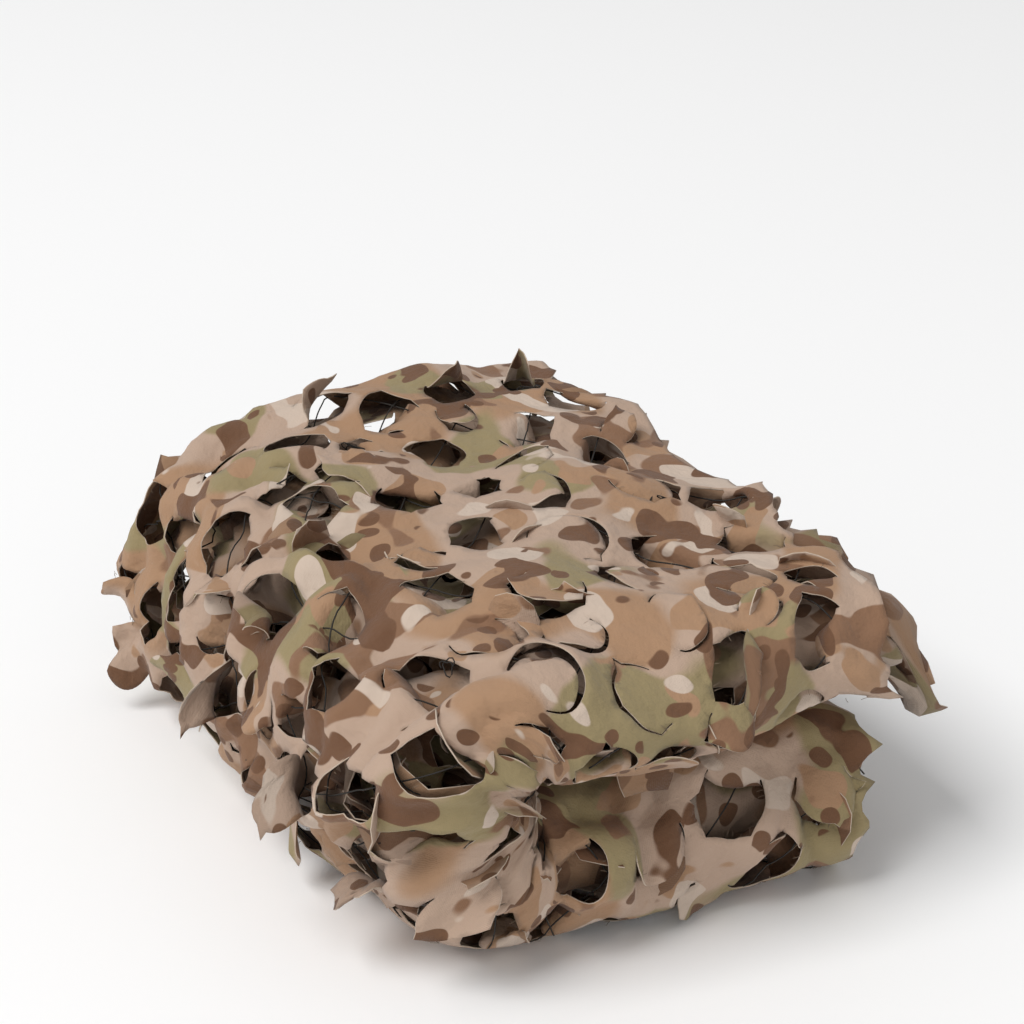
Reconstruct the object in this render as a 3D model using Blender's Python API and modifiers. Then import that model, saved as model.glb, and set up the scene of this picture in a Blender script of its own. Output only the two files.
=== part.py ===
"""Folded camouflage netting, lying on a flat surface.

One sheet of cloth with leaf-shaped cuts is folded lengthwise into a strip of six layers,
and the strip is then folded in half over a thick spine, so that two packs lie one above
the other with a crease between them. Each cut frees a leaf, hinged on one side, which
curls out of the cloth or into it, or is tucked under and leaves a plain gap.

Metres, +Z up. The origin is the middle of the footprint, on the surface. +X points at the
rounded edge where the layers turn back, and -Y at the spine.

The cloth has flat coordinates: "along" runs through the six layers from one long edge to
the other, and "down" runs from the upper pack's open end round the spine to the lower
pack's open end.
"""

import math
from collections import namedtuple

import bmesh
import bpy
import numpy as np
from mathutils import Vector
from mathutils.geometry import delaunay_2d_cdt

# The folded pack.
CLOTH = 0.002  # thickness
FRONT_X, BACK_X = 0.233, -0.250  # the rounded edge and the back edge
SPINE_Y = -0.206  # the spine's outside
OPEN_Y, LOW_OPEN_Y = 0.158, 0.144  # the open ends of the upper and lower packs
HEIGHT = 0.207
CREASE_Z = 0.117  # where the two packs meet
CREASE_GAP = 0.0055  # from the crease's middle to either pack
NOSE_DEPTH = 0.051  # how far the rounded edge bulges past the layers' straight part
SPINE_DEPTH = 0.111
SPINE_POWER = 2.6  # 2 is an ellipse, and more is squarer
BACK_FOLD_DEPTH = 0.012

# The layers in the cloth's own order, by their share of a pack's thickness: 0 lies at the
# crease and 1 outside. They run in turn to the rounded edge and to the back.
Layer = namedtuple("Layer", "share back_inset")
LAYERS = (
    Layer(share=0.00, back_inset=0.010),
    Layer(share=1.00, back_inset=0.000),
    Layer(share=0.74, back_inset=0.000),
    Layer(share=0.20, back_inset=0.022),
    Layer(share=0.38, back_inset=0.022),
    Layer(share=0.56, back_inset=0.034),
)
OUTER = 1  # the layer that shows on top, round the spine and underneath
OPEN_STAGGER = 0.041  # how far the inner layers stand out of the open ends
INNER_REACH, OUTER_DRAW = 0.016, 0.012  # the same, more, at the upper pack's front corner
INNER_LOFT = 1.1  # how much the inner layers rise to the outer one there
FRILL = 0.008  # the waves of the edges at the open ends
FRILL_LENGTH = 0.140

# How the pack has settled.
CROWN = 0.060  # how much lower the corners lie than the middle, as a share
SPINE_ROUND = 0.014  # how far the spine draws in at its two ends
FOOT_TUCK = 0.020  # how much further the lower pack's front corner draws in
FOOT_SKEW = 0.085  # how much the lower pack's rounded edge slants out to its open end
BACK_ROUND = 0.025  # how far the open ends draw in towards the back
CORNER_DROOP = 0.042  # how low the upper pack's front corner hangs past the lower pack
BACK_RISE, BACK_RISE_Y = 0.011, 0.065  # how much higher the back edge stands, and where
UPPER_SHIFT_X, UPPER_SHIFT_Y = 0.010, 0.018
UPPER_TURN = math.radians(-2.1)
Wave = namedtuple("Wave", "height across up start")
TOP_WAVES = (  # upward, by x and y
    Wave(height=0.0045, across=0.31, up=0.23, start=0.7),
    Wave(height=0.0030, across=0.17, up=-0.29, start=2.9),
    Wave(height=0.0020, across=-0.11, up=0.13, start=4.4),
)
SPINE_WAVES = (  # out of the spine, by x and z
    Wave(height=0.0050, across=0.21, up=0.33, start=1.1),
    Wave(height=0.0035, across=-0.13, up=0.15, start=3.6),
)
FRONT_WAVES = (  # out of the rounded edge, by y and z
    Wave(height=0.0045, across=0.24, up=-0.40, start=5.0),
    Wave(height=0.0030, across=0.12, up=0.27, start=2.2),
)
RIPPLES = (  # out of the cloth, by its own "along" and "down"
    Wave(height=0.0014, across=0.094, up=0.210, start=0.4),
    Wave(height=0.0012, across=-0.150, up=0.083, start=1.9),
)
FLOOR_FADE = 0.05  # the height at which the waves are whole; on the surface there are none

# The cuts. A leaf's edge is this much of a turn, and its hinge closes the rest.
LEAF_ARC = math.radians(250)
GAP_AT_TIP, GAP_AT_HINGE = 0.0055, 0.0025
LEAF_FOLD = 0.4  # the share of a leaf, from its hinge, that bends
HOLE_PITCH_ALONG, HOLE_PITCH_DOWN = 0.165, 0.145
HOLE_RADIUS = 0.021
CUT_ROOM = 0.053  # between the middles of two cuts
CREASE_ROOM = 0.042  # from the crease to a cut's middle
CUT_TRIES, CUT_SEED = 3000, 6
TUCKED_SHARE = 0.4
SPREAD_RADIUS = 0.034  # how far round a cut the cloth has to be spread, and how much
OUTER_SPREAD, HIDDEN_SPREAD = 0.6, 0.85
EDGE_ROOM = 0.031  # from a cut's middle to the cloth's edge
LEAST_Z = 0.003  # a leaf's lowest point, so that the pack rests on its cloth

# The large cuts on top and round the spine. "along" starts where the rounded edge does,
# a leaf heads from its hinge to its tip, 0 is along the cloth and 90 is down it, and a
# leaf that lifts past 90 lies folded back.
TUCKED = -170  # the lift of a leaf that is out of sight under the cloth
Cut = namedtuple("Cut", "along down reach width heading lift")
LARGE_CUTS = (
    Cut(along=0.240, down=0.032, reach=0.036, width=0.054, heading=135, lift=TUCKED),
    Cut(along=0.115, down=0.054, reach=0.036, width=0.058, heading=70, lift=TUCKED),
    Cut(along=0.390, down=0.075, reach=0.042, width=0.062, heading=-125, lift=TUCKED),
    Cut(along=0.247, down=0.096, reach=0.046, width=0.066, heading=120, lift=TUCKED),
    Cut(along=0.455, down=0.105, reach=0.040, width=0.050, heading=-140, lift=TUCKED),
    Cut(along=0.120, down=0.124, reach=0.034, width=0.056, heading=60, lift=110),
    Cut(along=0.280, down=0.160, reach=0.044, width=0.064, heading=-60, lift=-8),
    Cut(along=0.165, down=0.146, reach=0.034, width=0.054, heading=-86, lift=5),
    Cut(along=0.345, down=0.148, reach=0.034, width=0.048, heading=-113, lift=40),
    Cut(along=0.455, down=0.178, reach=0.036, width=0.050, heading=-90, lift=TUCKED),
    Cut(along=0.215, down=0.205, reach=0.044, width=0.046, heading=143, lift=-14),
    Cut(along=0.116, down=0.190, reach=0.034, width=0.058, heading=90, lift=5),
    Cut(along=0.318, down=0.206, reach=0.036, width=0.046, heading=77, lift=TUCKED),
    Cut(along=0.390, down=0.225, reach=0.038, width=0.046, heading=156, lift=TUCKED),
    Cut(along=0.255, down=0.264, reach=0.036, width=0.056, heading=-80, lift=TUCKED),
    Cut(along=0.135, down=0.255, reach=0.042, width=0.056, heading=-81, lift=-14),
    Cut(along=0.408, down=0.290, reach=0.040, width=0.060, heading=-84, lift=TUCKED),
    Cut(along=0.177, down=0.316, reach=0.038, width=0.056, heading=-80, lift=TUCKED),
    Cut(along=0.228, down=0.345, reach=0.036, width=0.052, heading=87, lift=TUCKED),
    Cut(along=0.118, down=0.352, reach=0.036, width=0.054, heading=70, lift=TUCKED),
    Cut(along=0.500, down=0.262, reach=0.040, width=0.052, heading=-27, lift=TUCKED),
    Cut(along=0.340, down=0.300, reach=0.036, width=0.046, heading=100, lift=TUCKED),
    Cut(along=0.430, down=0.345, reach=0.038, width=0.048, heading=60, lift=TUCKED),
    Cut(along=0.515, down=0.372, reach=0.036, width=0.046, heading=120, lift=TUCKED),
    Cut(along=0.340, down=0.366, reach=0.036, width=0.044, heading=-100, lift=40),
    Cut(along=0.165, down=0.388, reach=0.038, width=0.046, heading=80, lift=TUCKED),
    Cut(along=0.120, down=0.428, reach=0.042, width=0.056, heading=-70, lift=TUCKED),
    Cut(along=0.060, down=0.690, reach=0.036, width=0.046, heading=0, lift=-10),
    Cut(along=0.060, down=0.625, reach=0.036, width=0.046, heading=20, lift=TUCKED),
    Cut(along=0.100, down=0.500, reach=0.046, width=0.058, heading=60, lift=35),
)

# The mesh. Segments for each piece of the section, in its order, and down the strip.
SECTION_SEGMENTS = (3, 6, 7, 3, 4, 4, 3, 3, 3, 3, 3)
DOWN_SEGMENTS = (4, 9, 4)
GRID_ROOM = 0.009  # from a cut or a hole to the grid's points

Piece = namedtuple("Piece", "x_from x_to share_from share_to bulge length")


def section_pieces():
    """The section's runs and folds, in the cloth's order."""
    nose_x = FRONT_X - NOSE_DEPTH
    mean_thickness = HEIGHT / 2 - CREASE_GAP
    pieces = []
    for i, layer in enumerate(LAYERS):
        forward = i % 2 == 0
        back_x = BACK_X + layer.back_inset
        x_from, x_to = (back_x, nose_x) if forward else (nose_x, back_x)
        pieces.append(Piece(x_from, x_to, layer.share, layer.share, 0.0, nose_x - back_x))
        if i + 1 < len(LAYERS):
            turned_to = LAYERS[i + 1].share
            rise = turned_to - layer.share
            bulge = NOSE_DEPTH * abs(rise) if forward else -BACK_FOLD_DEPTH
            length = math.pi * math.hypot(bulge, rise * mean_thickness / 2) / math.sqrt(2)
            pieces.append(Piece(x_to, x_to, layer.share, turned_to, bulge, length))
    return pieces


PIECES = section_pieces()
PIECE_VALUES = {name: np.array([getattr(p, name) for p in PIECES]) for name in Piece._fields}
PIECE_STARTS = np.concatenate([[0.0], np.cumsum(PIECE_VALUES["length"])])
ALONG = float(PIECE_STARTS[-1])
OUTER_FROM = float(PIECE_STARTS[2 * OUTER - 1])  # the rounded edge and the outer layer
OUTER_TO = float(PIECE_STARTS[2 * OUTER + 1])
INNER_FROM = float(PIECE_STARTS[2 * OUTER + 2])  # the layers wrapped by the outer ones


def superellipse(angle):
    """How far out and up the spine's curve is, as shares, at an angle from its top."""
    power = 2 / SPINE_POWER
    out = np.sin(angle).clip(0, 1) ** power
    up = np.sign(np.cos(angle)) * np.abs(np.cos(angle)) ** power
    return out, up


def pack_heights(up):
    """The height of the pack that a point is in, measured from the crease."""
    return np.where(up > 0, HEIGHT - CREASE_Z, CREASE_Z)


SPINE_ANGLES = np.linspace(0.0, math.pi, 241)
SPINE_OUT, SPINE_UP = superellipse(SPINE_ANGLES)
SPINE_STEPS = np.hypot(
    np.diff(SPINE_DEPTH * SPINE_OUT), np.diff(pack_heights(SPINE_UP) * SPINE_UP)
)
SPINE_LENGTHS = np.concatenate([[0.0], np.cumsum(SPINE_STEPS)])
SPINE_RUN = float(SPINE_LENGTHS[-1])
SPINE_CENTRE_Y = SPINE_Y + SPINE_DEPTH
TOP_RUN = OPEN_Y - SPINE_CENTRE_Y
LOW_RUN = LOW_OPEN_Y - SPINE_CENTRE_Y
DOWN = TOP_RUN + SPINE_RUN + LOW_RUN


def smooth(value, low, high):
    """0 below low, 1 above high, and a smooth step between."""
    t = np.clip((value - low) / (high - low), 0.0, 1.0)
    return t * t * (3 - 2 * t)


def waves(table, across, up):
    """The sum of a table's waves."""
    return sum(
        w.height * np.sin(2 * math.pi * (across / w.across + up / w.up) + w.start) for w in table
    )


def on_section(along):
    """x and the share of the pack's thickness, at a distance along the cloth."""
    i = np.clip(np.searchsorted(PIECE_STARTS, along, side="right") - 1, 0, len(PIECES) - 1)
    value = {name: column[i] for name, column in PIECE_VALUES.items()}
    part = (along - PIECE_STARTS[i]) / value["length"]
    turn = math.pi * part
    x = value["x_from"] + part * (value["x_to"] - value["x_from"]) + value["bulge"] * np.sin(turn)
    middle = (value["share_from"] + value["share_to"]) / 2
    share = middle - (value["share_to"] - value["share_from"]) / 2 * np.cos(turn)
    return x, share


def down_the_strip(along, down, x, share):
    """y and z, at a distance down the strip and a share of the pack's thickness."""
    inner = smooth(along, OUTER_TO, INNER_FROM)
    on_top = np.clip((TOP_RUN - down) / TOP_RUN, 0, 1)
    below = np.clip((down - TOP_RUN - SPINE_RUN) / LOW_RUN, 0, 1)
    corner = smooth(x, 0.02, 0.19)
    share = share + INNER_LOFT * share**2 * (1 - share) * inner * corner * on_top**2
    out, up = superellipse(np.interp(down - TOP_RUN, SPINE_LENGTHS, SPINE_ANGLES))
    z = CREASE_Z + up * (CREASE_GAP + share * (pack_heights(up) - CREASE_GAP))
    y = SPINE_CENTRE_Y - out * (CREASE_GAP + share * (SPINE_DEPTH - CREASE_GAP))
    stagger = OPEN_STAGGER * (1.2 - share) * inner
    frill = FRILL * np.sin(2 * math.pi * along / FRILL_LENGTH)
    y = y + on_top * (TOP_RUN + stagger) + on_top**2 * frill
    y = y + on_top**2 * corner * (INNER_REACH * inner - OUTER_DRAW * (1 - inner))
    y = y + below * (LOW_RUN + 0.3 * stagger) + below**2 * frill
    return y, z


def settle(x, y, z):
    """Crowns and waves the pack, and slides and turns its upper half. z = 0 stays flat."""
    upper = 1 / (1 + np.exp((CREASE_Z - z) / 0.016))
    lift = smooth(z, 0.0, FLOOR_FADE)
    middle_y, half_y = (OPEN_Y + SPINE_Y) / 2, (OPEN_Y - SPINE_Y) / 2
    off_centre = (x / FRONT_X) ** 2 + ((y - middle_y) / half_y) ** 2
    settled_z = z * (1 - CROWN / 2 * off_centre) + lift * waves(TOP_WAVES, x, y)
    behind = smooth(-x, 0.04, -BACK_X) * np.exp(-(((y - BACK_RISE_Y) / 0.08) ** 2))
    settled_z += BACK_RISE * behind * z / HEIGHT
    past_lower = smooth(y, LOW_OPEN_Y, OPEN_Y + OPEN_STAGGER)
    settled_z -= CORNER_DROOP * past_lower * smooth(x, 0.08, FRONT_X) * upper
    settled_x = x + UPPER_SHIFT_X * upper
    settled_y = y + UPPER_SHIFT_Y * upper
    settled_x += lift * smooth(x, 0.08, FRONT_X) * waves(FRONT_WAVES, y, z)
    at_spine = smooth(-y, 0.0, -SPINE_Y)
    settled_y -= at_spine * lift * waves(SPINE_WAVES, x, z)
    settled_y += at_spine * SPINE_ROUND * (x / BACK_X) ** 4
    settled_y += at_spine * FOOT_TUCK * smooth(x, 0.0, FRONT_X) * (1 - upper)
    settled_x += FOOT_SKEW * (y - middle_y) * smooth(x, 0.0, FRONT_X) * (1 - upper)
    settled_y -= BACK_ROUND * smooth(-x, -0.05, -BACK_X) * smooth(y, 0.02, OPEN_Y)
    turn = UPPER_TURN * upper
    return np.stack(
        [
            settled_x * np.cos(turn) - settled_y * np.sin(turn),
            settled_x * np.sin(turn) + settled_y * np.cos(turn),
            settled_z,
        ],
        axis=-1,
    )


def smooth_cloth(along, down):
    """Points of the folded cloth, before its ripples."""
    x, share = on_section(along)
    y, z = down_the_strip(along, down, x, share)
    return settle(x, y, z)


def step_along(flat, way):
    """Where a step one way in the flat cloth leads in space, for each metre of the step."""
    step = 0.0015 * np.asarray(way)
    return (smooth_cloth(*(flat + step).T) - smooth_cloth(*(flat - step).T)) / 0.003


def outward(flat):
    """The cloth's outward normals."""
    normal = np.cross(step_along(flat, (1, 0)), step_along(flat, (0, 1)))
    return normal / np.linalg.norm(normal, axis=1, keepdims=True)


def folded(flat):
    """Where points of the flat cloth come to lie, given as rows of along and down."""
    points = smooth_cloth(*flat.T)
    height = waves(RIPPLES, *flat.T) * smooth(points[:, 2], LEAST_Z, FLOOR_FADE)
    return points + outward(flat) * height[:, None]


def leaf_ways(cut):
    """The flat directions from a leaf's hinge to its tip, and sideways."""
    heading = math.radians(cut.heading)
    return np.array([
        [math.cos(heading), math.sin(heading)],
        [-math.sin(heading), math.cos(heading)],
    ])


def middle(cut):
    """The middle of a cut's oval, in the flat cloth."""
    return np.array([cut.along, cut.down])


def half_length(cut):
    """From a cut's middle to its leaf's tip."""
    return cut.reach / (1 - math.cos(LEAF_ARC / 2))


def hinge_place(cut):
    """From a cut's middle to its leaf's hinge, forward."""
    return half_length(cut) * math.cos(LEAF_ARC / 2)


def arc(cut, count, inset):
    """Flat points round a cut's oval, from one end of the hinge to the other."""
    turn = np.linspace(-LEAF_ARC / 2, LEAF_ARC / 2, count)
    inset = inset(turn)
    forward = (half_length(cut) - inset) * np.cos(turn)
    sideways = (cut.width / 2 - inset) * np.sin(turn)
    return middle(cut) + np.stack([forward, sideways], axis=1) @ leaf_ways(cut)


def gap_at(turn):
    """The gap between the cloth and a leaf's edge, at a turn from the leaf's tip."""
    return GAP_AT_HINGE + (GAP_AT_TIP - GAP_AT_HINGE) * np.cos(turn / 2) ** 2


def leaf_middle(cut):
    """Flat points on a leaf's hinge and where it stops bending."""
    hinge = hinge_place(cut)
    side = 0.45 * cut.width / 2
    own = np.array([[hinge, -side], [hinge, side], [hinge + LEAF_FOLD * cut.reach, 0.0]])
    return middle(cut) + own @ leaf_ways(cut)


def on_leaf(cut, flat):
    """Where a leaf's flat points come to lie when it bends out of the cloth at its hinge."""
    ways = leaf_ways(cut)
    own = (flat - middle(cut)) @ ways.T
    from_hinge = np.maximum(own[:, 0] - hinge_place(cut), 0.0)
    foot = flat - from_hinge[:, None] * ways[0]
    ahead = step_along(foot, ways[0])
    stretch = np.linalg.norm(ahead, axis=1)
    from_hinge = from_hinge * np.minimum(stretch, 1.0)
    lift = math.radians(cut.lift)
    radius = LEAF_FOLD * cut.reach / lift
    bent = np.minimum(from_hinge, LEAF_FOLD * cut.reach)
    straight = from_hinge - bent
    forward = radius * np.sin(bent / radius) + math.cos(lift) * straight
    out = radius * (1 - np.cos(bent / radius)) + math.sin(lift) * straight
    points = folded(foot) + ahead * (forward / stretch)[:, None] + outward(foot) * out[:, None]
    points[:, 2] = np.maximum(points[:, 2], LEAST_Z)
    return points


def round_a_place(flat, radius, count):
    """Flat points on a circle."""
    turns = np.linspace(0, 2 * math.pi, count, endpoint=False)
    return flat + radius * np.stack([np.cos(turns), np.sin(turns)], axis=1)


def spread_at(flat):
    """How far the cloth spreads round a place, as the least share of its flat distance."""
    rim = smooth_cloth(*round_a_place(flat, SPREAD_RADIUS, 8).T)
    return np.linalg.norm(rim - smooth_cloth(*flat), axis=1).min() / SPREAD_RADIUS


def lift_at(rng, flat):
    """Degrees that a leaf turns out of the cloth, by where it is. Inward is negative."""
    normal = outward(flat[None])[0]
    if rng.random() < TUCKED_SHARE:
        return TUCKED
    if normal[2] < -0.5 or smooth_cloth(*flat)[2] < 0.03:
        return rng.uniform(-14, -5)
    if normal[1] < -0.5:
        return rng.choice([rng.uniform(10, 30), rng.uniform(30, 75)])
    if normal[0] > 0.5:
        return rng.choice([rng.uniform(4, 12), rng.uniform(12, 35)])
    return rng.choice([rng.uniform(-17, -8), rng.uniform(3, 12), rng.uniform(12, 50)])


def outer_cuts():
    """The cuts in the cloth that shows: the large ones, and others scattered in between."""
    rng = np.random.default_rng(CUT_SEED)
    cuts = [cut._replace(along=OUTER_FROM + cut.along) for cut in LARGE_CUTS]
    for _ in range(CUT_TRIES):
        along = rng.uniform(OUTER_FROM + CREASE_ROOM, OUTER_TO - EDGE_ROOM)
        down = rng.uniform(EDGE_ROOM, DOWN - EDGE_ROOM)
        reach, width = rng.uniform(0.036, 0.046), rng.uniform(0.040, 0.052)
        near_crease = along < OUTER_FROM + 2 * CREASE_ROOM
        heading = rng.uniform(-45, 45) if near_crease else rng.uniform(-180, 180)
        flat = np.array([along, down])
        nearest = min(np.linalg.norm(flat - middle(cut)) for cut in cuts)
        if nearest > CUT_ROOM and spread_at(flat) > OUTER_SPREAD:
            cuts.append(Cut(along, down, reach, width, heading, lift_at(rng, flat)))
    return cuts


def hidden_holes():
    """The middles of the plain holes in the layers inside, at about twice the cuts' pitch."""
    rows = round(DOWN / HOLE_PITCH_DOWN)
    holes = []
    for i in range(0, len(PIECES), 2):
        columns = 0 if i == 2 * OUTER else round(PIECES[i].length / HOLE_PITCH_ALONG)
        for row in range(rows):
            for column in range(columns):
                along = PIECE_STARTS[i] + (column + 0.5) * PIECES[i].length / columns
                flat = np.array([along, (row + 0.5) * DOWN / rows])
                if spread_at(flat) > HIDDEN_SPREAD:
                    holes.append(flat)
    return holes


def divided(ends, segments):
    """Places that divide each stretch between ends into its number of segments."""
    stretches = zip(ends, ends[1:], segments)
    return [p for a, b, n in stretches for p in np.linspace(a, b, n, endpoint=False)] + [ends[-1]]


def grid_points(cuts, holes):
    """Flat points over the whole cloth, clear of the cuts and holes."""
    columns = divided(PIECE_STARTS, SECTION_SEGMENTS)
    rows = divided((0.0, TOP_RUN, TOP_RUN + SPINE_RUN, DOWN), DOWN_SEGMENTS)
    grid = np.array([(along, down) for along in columns for down in rows])
    clear = np.ones(len(grid), bool)
    for cut in cuts:
        room = max(half_length(cut), cut.width / 2) + GRID_ROOM
        clear &= np.linalg.norm(grid - middle(cut), axis=1) > room
    for hole in holes:
        clear &= np.linalg.norm(grid - hole, axis=1) > HOLE_RADIUS + GRID_ROOM
    at_edge = (grid[:, 0] % ALONG == 0) | (grid[:, 1] % DOWN == 0)
    return grid[clear | at_edge]


def cloth_mesh(cuts, holes):
    """The cut cloth, folded, as an open bmesh that faces out."""
    flat = list(grid_points(cuts, holes))
    gaps = []
    cut_of = {}
    for cut in cuts:
        start = len(flat)
        flat.extend(arc(cut, 6, np.zeros_like))
        if cut.lift == TUCKED:
            gaps.append(list(range(start, len(flat))))
            continue
        leaf_start = len(flat)
        flat.extend(arc(cut, 5, gap_at)[::-1])
        gaps.append(list(range(start, len(flat))))
        flat.extend(leaf_middle(cut))
        cut_of.update({i: cut for i in range(leaf_start, len(flat))})
    for hole in holes:
        gaps.append(list(range(len(flat), len(flat) + 6)))
        flat.extend(round_a_place(hole, HOLE_RADIUS, 6))
    made, _, faces, sources, _, in_gaps = delaunay_2d_cdt(
        [Vector(point) for point in flat], [], gaps, 0, 1e-7
    )
    made = np.array(made)
    points = folded(made)
    leaf_points = {}
    for i, source in enumerate(sources):
        if source and source[0] in cut_of:
            leaf_points.setdefault(cut_of[source[0]], []).append(i)
    for cut, mine in leaf_points.items():
        points[mine] = on_leaf(cut, made[mine])
    mesh = bmesh.new()
    corners = [mesh.verts.new(point) for point in points]
    for face, gap in zip(faces, in_gaps):
        if not gap:
            mesh.faces.new([corners[i] for i in face])
    return mesh


def cloth_material():
    """Dull printed cloth."""
    material = bpy.data.materials.new("printed_cloth")
    material.use_nodes = True
    shader = material.node_tree.nodes["Principled BSDF"]
    shader.inputs["Base Color"].default_value = (0.30, 0.22, 0.15, 1.0)
    shader.inputs["Roughness"].default_value = 0.85
    shader.inputs["Metallic"].default_value = 0.0
    return material


def main():
    for obj in list(bpy.data.objects):
        bpy.data.objects.remove(obj)
    collection = bpy.data.collections.new("camouflage_netting")
    bpy.context.scene.collection.children.link(collection)
    data = bpy.data.meshes.new("netting")
    cloth = cloth_mesh(outer_cuts(), hidden_holes())
    cloth.to_mesh(data)
    cloth.free()
    data.materials.append(cloth_material())
    netting = bpy.data.objects.new("netting", data)
    collection.objects.link(netting)
    thickness = netting.modifiers.new("thickness", "SOLIDIFY")
    thickness.thickness = CLOTH
    thickness.offset = -1


main()
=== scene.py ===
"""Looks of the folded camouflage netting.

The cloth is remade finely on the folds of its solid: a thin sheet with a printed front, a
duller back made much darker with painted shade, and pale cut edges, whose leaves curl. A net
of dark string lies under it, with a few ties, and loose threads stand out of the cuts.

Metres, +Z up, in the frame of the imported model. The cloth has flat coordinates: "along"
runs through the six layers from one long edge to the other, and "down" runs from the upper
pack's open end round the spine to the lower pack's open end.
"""

import math
from collections import namedtuple

import bpy
import numpy as np
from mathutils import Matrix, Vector, noise
from mathutils.geometry import delaunay_2d_cdt


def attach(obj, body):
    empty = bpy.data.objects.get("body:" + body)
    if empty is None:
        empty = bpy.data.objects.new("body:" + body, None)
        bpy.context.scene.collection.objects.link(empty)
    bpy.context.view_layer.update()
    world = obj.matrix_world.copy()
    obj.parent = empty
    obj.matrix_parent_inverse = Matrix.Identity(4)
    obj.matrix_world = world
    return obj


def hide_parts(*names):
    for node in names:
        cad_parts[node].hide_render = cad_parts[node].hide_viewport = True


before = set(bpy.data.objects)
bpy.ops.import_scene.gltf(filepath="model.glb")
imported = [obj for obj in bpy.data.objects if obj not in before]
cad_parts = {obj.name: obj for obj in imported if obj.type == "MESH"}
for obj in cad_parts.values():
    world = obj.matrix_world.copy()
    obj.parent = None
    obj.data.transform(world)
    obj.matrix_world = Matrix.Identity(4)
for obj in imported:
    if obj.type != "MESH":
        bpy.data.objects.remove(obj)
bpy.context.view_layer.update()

# ---------------------------------------------------------------------------
# The folds, as in the solid
# ---------------------------------------------------------------------------

FRONT_X, BACK_X = 0.233, -0.250  # the rounded edge and the back edge
SPINE_Y = -0.206  # the spine's outside
OPEN_Y, LOW_OPEN_Y = 0.158, 0.144  # the open ends of the upper and lower packs
HEIGHT = 0.207
CREASE_Z = 0.117  # where the two packs meet
CREASE_GAP = 0.0055  # from the crease's middle to either pack
NOSE_DEPTH = 0.051  # how far the rounded edge bulges past the layers' straight part
SPINE_DEPTH = 0.111
SPINE_POWER = 2.6  # 2 is an ellipse, and more is squarer
BACK_FOLD_DEPTH = 0.012

# The layers in the cloth's own order, by their share of a pack's thickness: 0 lies at the
# crease and 1 outside. They run in turn to the rounded edge and to the back.
Layer = namedtuple("Layer", "share back_inset")
LAYERS = (
    Layer(share=0.00, back_inset=0.010),
    Layer(share=1.00, back_inset=0.000),
    Layer(share=0.74, back_inset=0.000),
    Layer(share=0.20, back_inset=0.022),
    Layer(share=0.38, back_inset=0.022),
    Layer(share=0.56, back_inset=0.034),
)
OUTER = 1  # the layer that shows on top, round the spine and underneath
OPEN_STAGGER = 0.041  # how far the inner layers stand out of the open ends
INNER_REACH, OUTER_DRAW = 0.016, 0.012  # the same, more, at the upper pack's front corner
INNER_LOFT = 1.1  # how much the inner layers rise to the outer one there
FRILL = 0.008  # the waves of the edges at the open ends
FRILL_LENGTH = 0.140

CROWN = 0.060  # how much lower the corners lie than the middle, as a share
SPINE_ROUND = 0.014  # how far the spine draws in at its two ends
FOOT_TUCK = 0.020  # how much further the lower pack's front corner draws in
FOOT_SKEW = 0.085  # how much the lower pack's rounded edge slants out to its open end
BACK_ROUND = 0.025  # how far the open ends draw in towards the back
CORNER_DROOP = 0.042  # how low the upper pack's front corner hangs past the lower pack
BACK_RISE, BACK_RISE_Y = 0.011, 0.065  # how much higher the back edge stands, and where
UPPER_SHIFT_X, UPPER_SHIFT_Y = 0.010, 0.018
UPPER_TURN = math.radians(-2.1)
Wave = namedtuple("Wave", "height across up start")
TOP_WAVES = (  # upward, by x and y
    Wave(height=0.0045, across=0.31, up=0.23, start=0.7),
    Wave(height=0.0030, across=0.17, up=-0.29, start=2.9),
    Wave(height=0.0020, across=-0.11, up=0.13, start=4.4),
)
SPINE_WAVES = (  # out of the spine, by x and z
    Wave(height=0.0050, across=0.21, up=0.33, start=1.1),
    Wave(height=0.0035, across=-0.13, up=0.15, start=3.6),
)
FRONT_WAVES = (  # out of the rounded edge, by y and z
    Wave(height=0.0045, across=0.24, up=-0.40, start=5.0),
    Wave(height=0.0030, across=0.12, up=0.27, start=2.2),
)
RIPPLES = (  # out of the cloth, by its own "along" and "down"
    Wave(height=0.0014, across=0.094, up=0.210, start=0.4),
    Wave(height=0.0012, across=-0.150, up=0.083, start=1.9),
)
FLOOR_FADE = 0.05  # the height at which the waves are whole; on the surface there are none

Piece = namedtuple("Piece", "x_from x_to share_from share_to bulge length")


def section_pieces():
    """The section's runs and folds, in the cloth's order."""
    nose_x = FRONT_X - NOSE_DEPTH
    mean_thickness = HEIGHT / 2 - CREASE_GAP
    pieces = []
    for i, layer in enumerate(LAYERS):
        forward = i % 2 == 0
        back_x = BACK_X + layer.back_inset
        x_from, x_to = (back_x, nose_x) if forward else (nose_x, back_x)
        pieces.append(Piece(x_from, x_to, layer.share, layer.share, 0.0, nose_x - back_x))
        if i + 1 < len(LAYERS):
            turned_to = LAYERS[i + 1].share
            rise = turned_to - layer.share
            bulge = NOSE_DEPTH * abs(rise) if forward else -BACK_FOLD_DEPTH
            length = math.pi * math.hypot(bulge, rise * mean_thickness / 2) / math.sqrt(2)
            pieces.append(Piece(x_to, x_to, layer.share, turned_to, bulge, length))
    return pieces


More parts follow.
